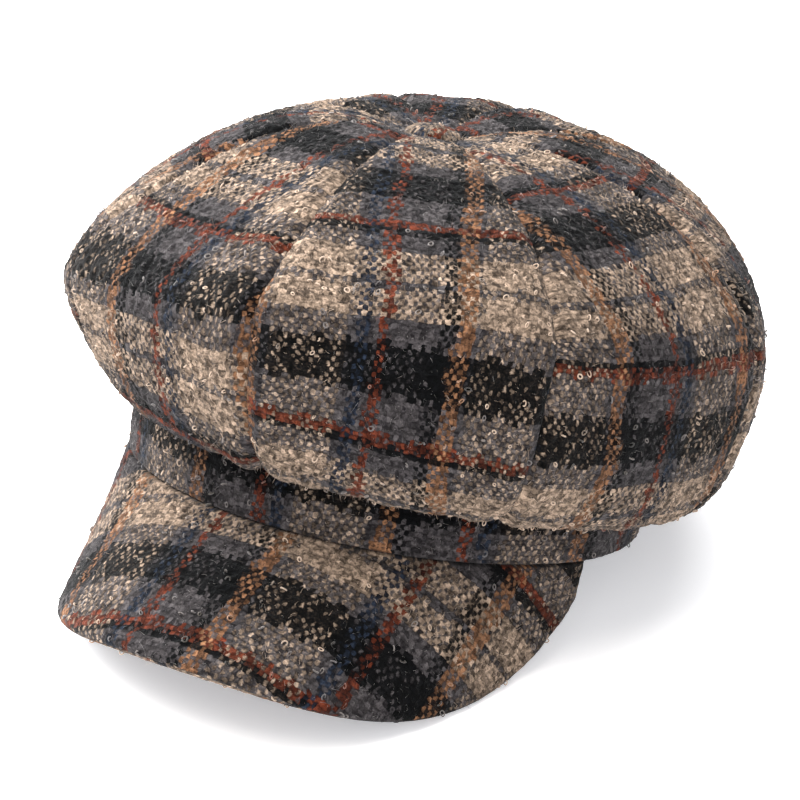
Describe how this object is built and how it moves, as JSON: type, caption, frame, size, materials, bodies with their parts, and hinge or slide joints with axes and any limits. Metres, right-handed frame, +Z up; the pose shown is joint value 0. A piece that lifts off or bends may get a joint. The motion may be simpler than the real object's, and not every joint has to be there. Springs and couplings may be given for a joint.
{
  "type": "newsboy cap",
  "caption": "Soft newsboy cap with a full panelled crown over a narrow headband and a curved fabric visor, in wool boucle plaid tweed, lying front up.",
  "frame": {"origin": "on the ground, at the middle of the cap's outline seen from above", "axes": "-Y is the front of the cap, where the visor points; +X is the wearer's left; +Z is up. The cap lies as on a table, with its headband tipped back about 15 degrees"},
  "size_m": [0.253, 0.309, 0.1615],
  "materials": {
    "tweed": "thick wool boucle in a grey, cream and black plaid with rust, tan and blue lines",
    "lining_satin": "smooth dark polyester satin",
    "sweatband_ribbon": "ribbed black cotton ribbon",
    "interlining_felt": "matt pressed felt",
    "elastic_webbing": "ribbed woven elastic",
    "padding_foam": "soft polyester wadding",
    "board_plastic": "matt polyethylene sheet",
    "button_plastic": "moulded plastic"
  },
  "bodies": {
    "root": {"crown_panel_1": "tweed", "crown_panel_2": "tweed", "crown_panel_3": "tweed", "crown_panel_4": "tweed", "crown_panel_5": "tweed", "crown_panel_6": "tweed", "crown_panel_7": "tweed", "crown_panel_8": "tweed", "lining_panel_1": "lining_satin", "lining_panel_2": "lining_satin", "lining_panel_3": "lining_satin", "lining_panel_4": "lining_satin", "lining_panel_5": "lining_satin", "lining_panel_6": "lining_satin", "lining_panel_7": "lining_satin", "lining_panel_8": "lining_satin", "button_cover": "tweed", "button_core": "button_plastic", "headband": "tweed", "headband_interlining": "interlining_felt", "sweatband": "sweatband_ribbon", "back_elastic": "elastic_webbing", "visor_top_cloth": "tweed", "visor_padding": "padding_foam", "visor_board": "board_plastic", "visor_under_cloth": "tweed"}
  },
  "joints": []
}
